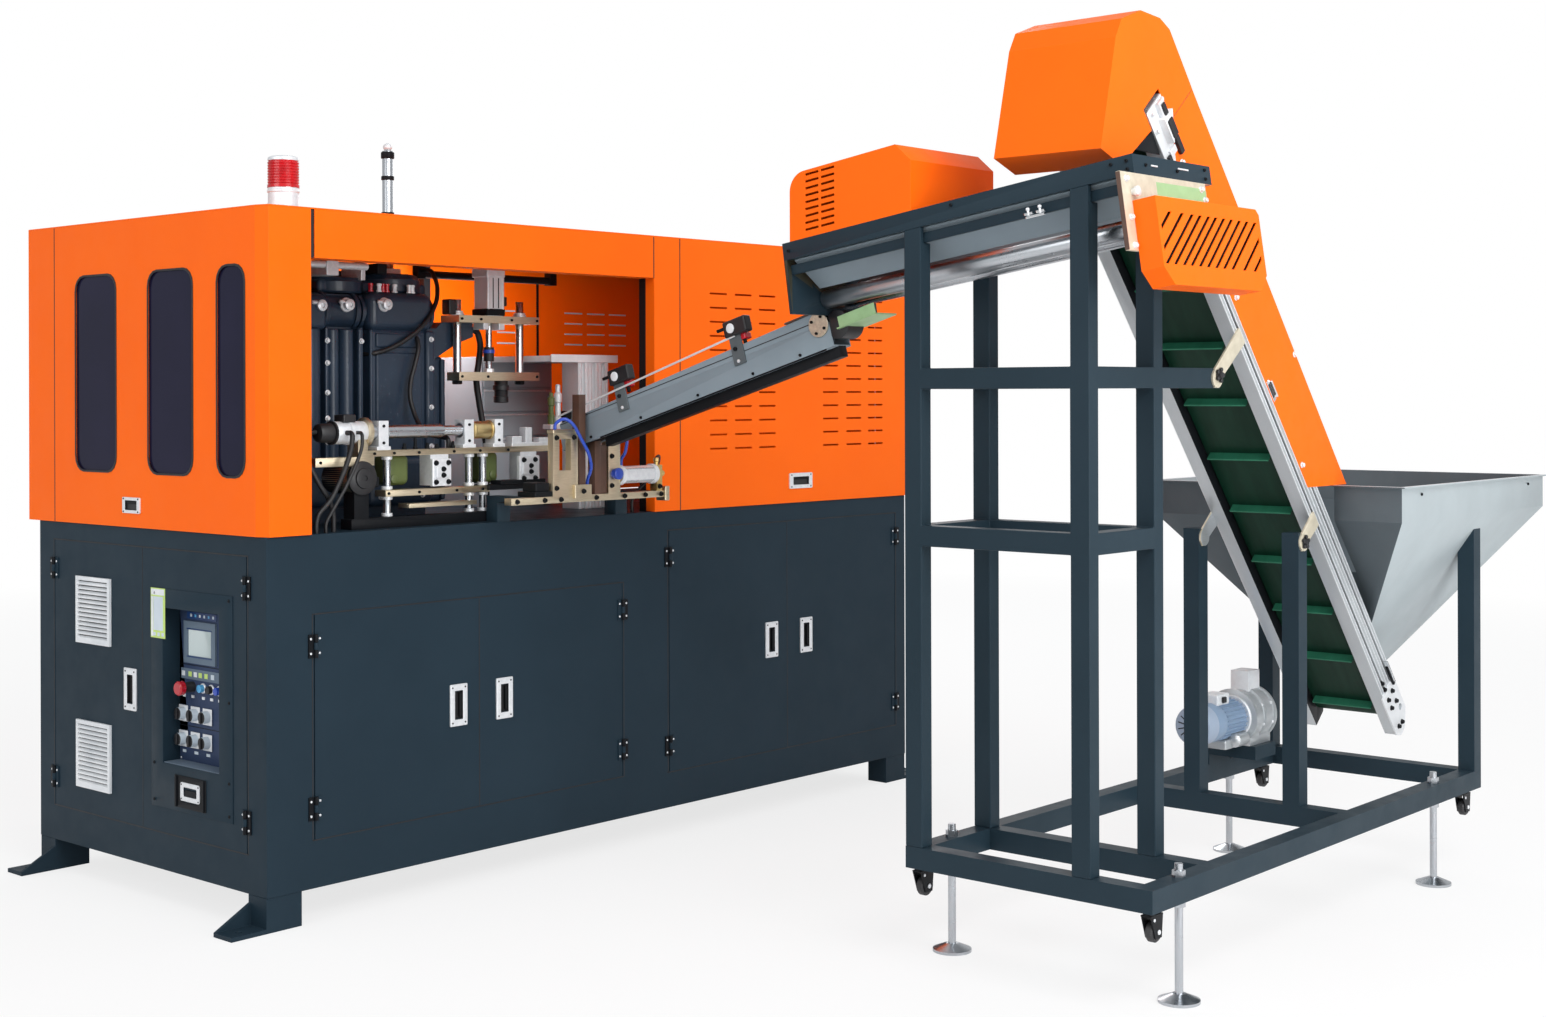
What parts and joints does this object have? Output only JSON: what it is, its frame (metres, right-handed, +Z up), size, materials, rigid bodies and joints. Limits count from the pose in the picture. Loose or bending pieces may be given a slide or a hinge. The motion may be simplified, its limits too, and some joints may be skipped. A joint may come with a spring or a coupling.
{
  "type": "blow moulding machine",
  "caption": "Automatic blow moulding machine with an orange guard housing over a dark cabinet, and a preform hopper with cleated belt elevator, sorting tray and chute.",
  "frame": {"origin": "centre of the four anchor holes of the machine, at floor level", "axes": "+X along the machine from the control end, +Y from the operator's side to the back, +Z up"},
  "size_m": [3.393, 3.4487, 2.371],
  "materials": {
    "dark_paint": "satin powder coat",
    "orange_paint": "satin powder coat",
    "frame_paint": "satin powder coat",
    "hopper_grey": "satin powder coat",
    "cast_iron": "painted casting",
    "black_steel": "satin black",
    "white_plastic": "moulded",
    "black_plastic": "moulded",
    "red_plastic": "moulded",
    "tinted_window": "tinted",
    "red_lens": "lens",
    "chrome": "polished",
    "bright_steel": "ground",
    "zinc_steel": "zinc plated",
    "anodised": "anodised champagne",
    "aluminium": "extruded",
    "panel_paint": "satin",
    "belt_green": "coated belt",
    "hinge_black": "black",
    "motor_paint": "painted",
    "cable_rubber": "jacket",
    "wheel_rubber": "moulded"
  },
  "bodies": {
    "machine": {"base_cabinet": "dark_paint", "floor_feet": "dark_paint", "door_hinges": "hinge_black", "end_cover": "orange_paint", "window_panes": "tinted_window", "front_header": "orange_paint", "corner_pillar": "orange_paint", "louvre_panel": "orange_paint", "rear_panel": "orange_paint", "roof_panel": "orange_paint", "upper_frame": "black_steel", "beacon_base": "chrome", "beacon_lens": "red_lens", "clamp_fixed_platen": "cast_iron", "tie_bars": "bright_steel", "stretch_cylinder": "bright_steel", "pickup_frame": "anodised", "pickup_cylinder": "aluminium", "transfer_frame": "anodised", "infeed_stand": "anodised", "heater_box": "aluminium", "interior_cables": "cable_rubber", "base_frame": "frame_paint", "tower_frame": "frame_paint", "levelling_feet": "bright_steel", "conveyor_rails": "aluminium", "conveyor_belt": "belt_green", "side_cover": "orange_paint", "discharge_hood": "orange_paint", "hopper": "hopper_grey", "tray_frame": "frame_paint", "tray_guards": "hopper_grey", "drive_cover": "orange_paint", "vented_hood": "orange_paint", "chute": "hopper_grey", "blower": "motor_paint"},
    "service_door_1": {"service_door_1": "dark_paint"},
    "service_door_2": {"service_door_2": "dark_paint"},
    "service_door_3": {"service_door_3": "dark_paint"},
    "service_door_4": {"service_door_4": "dark_paint"},
    "left_end_door": {"left_end_door": "dark_paint", "vent_grilles": "white_plastic"},
    "control_door": {"control_door": "dark_paint", "control_panel": "panel_paint"},
    "emergency_stop": {"emergency_stop": "red_plastic"},
    "clamp_moving_platen": {"clamp_moving_platen": "cast_iron"},
    "pickup_rod": {"pickup_rod": "anodised"},
    "transfer_shaft": {"transfer_shaft": "bright_steel"},
    "head_drum": {"head_drum": "bright_steel"},
    "tail_drum": {"tail_drum": "bright_steel"},
    "roller_near": {"roller_near": "bright_steel"},
    "roller_far": {"roller_far": "bright_steel"},
    "castor_fork_1": {"castor_fork_1": "zinc_steel"},
    "castor_wheel_1": {"castor_wheel_1": "wheel_rubber"},
    "castor_fork_2": {"castor_fork_2": "zinc_steel"},
    "castor_wheel_2": {"castor_wheel_2": "wheel_rubber"},
    "castor_fork_3": {"castor_fork_3": "zinc_steel"},
    "castor_wheel_3": {"castor_wheel_3": "wheel_rubber"},
    "castor_fork_4": {"castor_fork_4": "zinc_steel"},
    "castor_wheel_4": {"castor_wheel_4": "wheel_rubber"}
  },
  "joints": [
    {"name": "service_door_1_hinge", "type": "hinge", "parent": "machine", "child": "service_door_1", "pos_m": [-1.247, -0.5995, 0.533], "axis": [0, 0, -1], "range_deg": [0, 95]},
    {"name": "service_door_2_hinge", "type": "hinge", "parent": "machine", "child": "service_door_2", "pos_m": [-0.075, -0.5995, 0.533], "axis": [0, 0, 1], "range_deg": [0, 95]},
    {"name": "service_door_3_hinge", "type": "hinge", "parent": "machine", "child": "service_door_3", "pos_m": [0.141, -0.5995, 0.602], "axis": [0, 0, -1], "range_deg": [0, 95]},
    {"name": "service_door_4_hinge", "type": "hinge", "parent": "machine", "child": "service_door_4", "pos_m": [1.339, -0.5995, 0.602], "axis": [0, 0, 1], "range_deg": [0, 95]},
    {"name": "left_end_door_hinge", "type": "hinge", "parent": "machine", "child": "left_end_door", "pos_m": [-1.408, 0.5015, 0.602], "axis": [0, 0, -1], "range_deg": [0, 110]},
    {"name": "control_door_hinge", "type": "hinge", "parent": "machine", "child": "control_door", "pos_m": [-1.408, -0.5005, 0.602], "axis": [0, 0, 1], "range_deg": [0, 110]},
    {"name": "emergency_stop_press", "type": "slide", "parent": "control_door", "child": "emergency_stop", "axis": [1, 0, 0], "range_m": [0, 0.0035]},
    {"name": "clamp_opening", "type": "slide", "parent": "machine", "child": "clamp_moving_platen", "axis": [-1, 0, 0], "range_m": [0, 0.11]},
    {"name": "pickup_lift", "type": "slide", "parent": "machine", "child": "pickup_rod", "axis": [0, 0, 1], "range_m": [-0.03, 0.06]},
    {"name": "transfer_shaft_turn", "type": "hinge", "parent": "machine", "child": "transfer_shaft", "pos_m": [-0.984, -0.5135, 1.333], "axis": [1, 0, 0], "continuous": true},
    {"name": "head_drum_turn", "type": "hinge", "parent": "machine", "child": "head_drum", "pos_m": [-0.14198, -2.4335, 2.10057], "axis": [0, 1, 0], "continuous": true},
    {"name": "tail_drum_turn", "type": "hinge", "parent": "machine", "child": "tail_drum", "pos_m": [1.22966, -2.4335, 0.49459], "axis": [0, 1, 0], "continuous": true},
    {"name": "roller_near_turn", "type": "hinge", "parent": "machine", "child": "roller_near", "pos_m": [-0.3535, -2.72161, 1.84551], "axis": [0, 0.9898, -0.1426], "continuous": true},
    {"name": "roller_far_turn", "type": "hinge", "parent": "machine", "child": "roller_far", "pos_m": [-0.2755, -2.72161, 1.84551], "axis": [0, 0.9898, -0.1426], "continuous": true},
    {"name": "castor_swivel_1", "type": "hinge", "parent": "machine", "child": "castor_fork_1", "pos_m": [-0.47, -2.7245, 0.233], "axis": [0, 0, 1], "continuous": true},
    {"name": "castor_roll_1", "type": "hinge", "parent": "castor_fork_1", "child": "castor_wheel_1", "pos_m": [-0.45, -2.7245, 0.191], "axis": [0, 1, 0], "continuous": true},
    {"name": "castor_swivel_2", "type": "hinge", "parent": "machine", "child": "castor_fork_2", "pos_m": [-0.47, -2.0655, 0.233], "axis": [0, 0, 1], "continuous": true},
    {"name": "castor_roll_2", "type": "hinge", "parent": "castor_fork_2", "child": "castor_wheel_2", "pos_m": [-0.45, -2.0655, 0.191], "axis": [0, 1, 0], "continuous": true},
    {"name": "castor_swivel_3", "type": "hinge", "parent": "machine", "child": "castor_fork_3", "pos_m": [1.349, -2.7245, 0.233], "axis": [0, 0, 1], "continuous": true},
    {"name": "castor_roll_3", "type": "hinge", "parent": "castor_fork_3", "child": "castor_wheel_3", "pos_m": [1.369, -2.7245, 0.191], "axis": [0, 1, 0], "continuous": true},
    {"name": "castor_swivel_4", "type": "hinge", "parent": "machine", "child": "castor_fork_4", "pos_m": [1.349, -2.0655, 0.233], "axis": [0, 0, 1], "continuous": true},
    {"name": "castor_roll_4", "type": "hinge", "parent": "castor_fork_4", "child": "castor_wheel_4", "pos_m": [1.369, -2.0655, 0.191], "axis": [0, 1, 0], "continuous": true}
  ],
  "couplings": [
    {"joint": "tail_drum_turn", "follows": "head_drum_turn", "ratio": 1},
    {"joint": "roller_far_turn", "follows": "roller_near_turn", "ratio": -1}
  ]
}
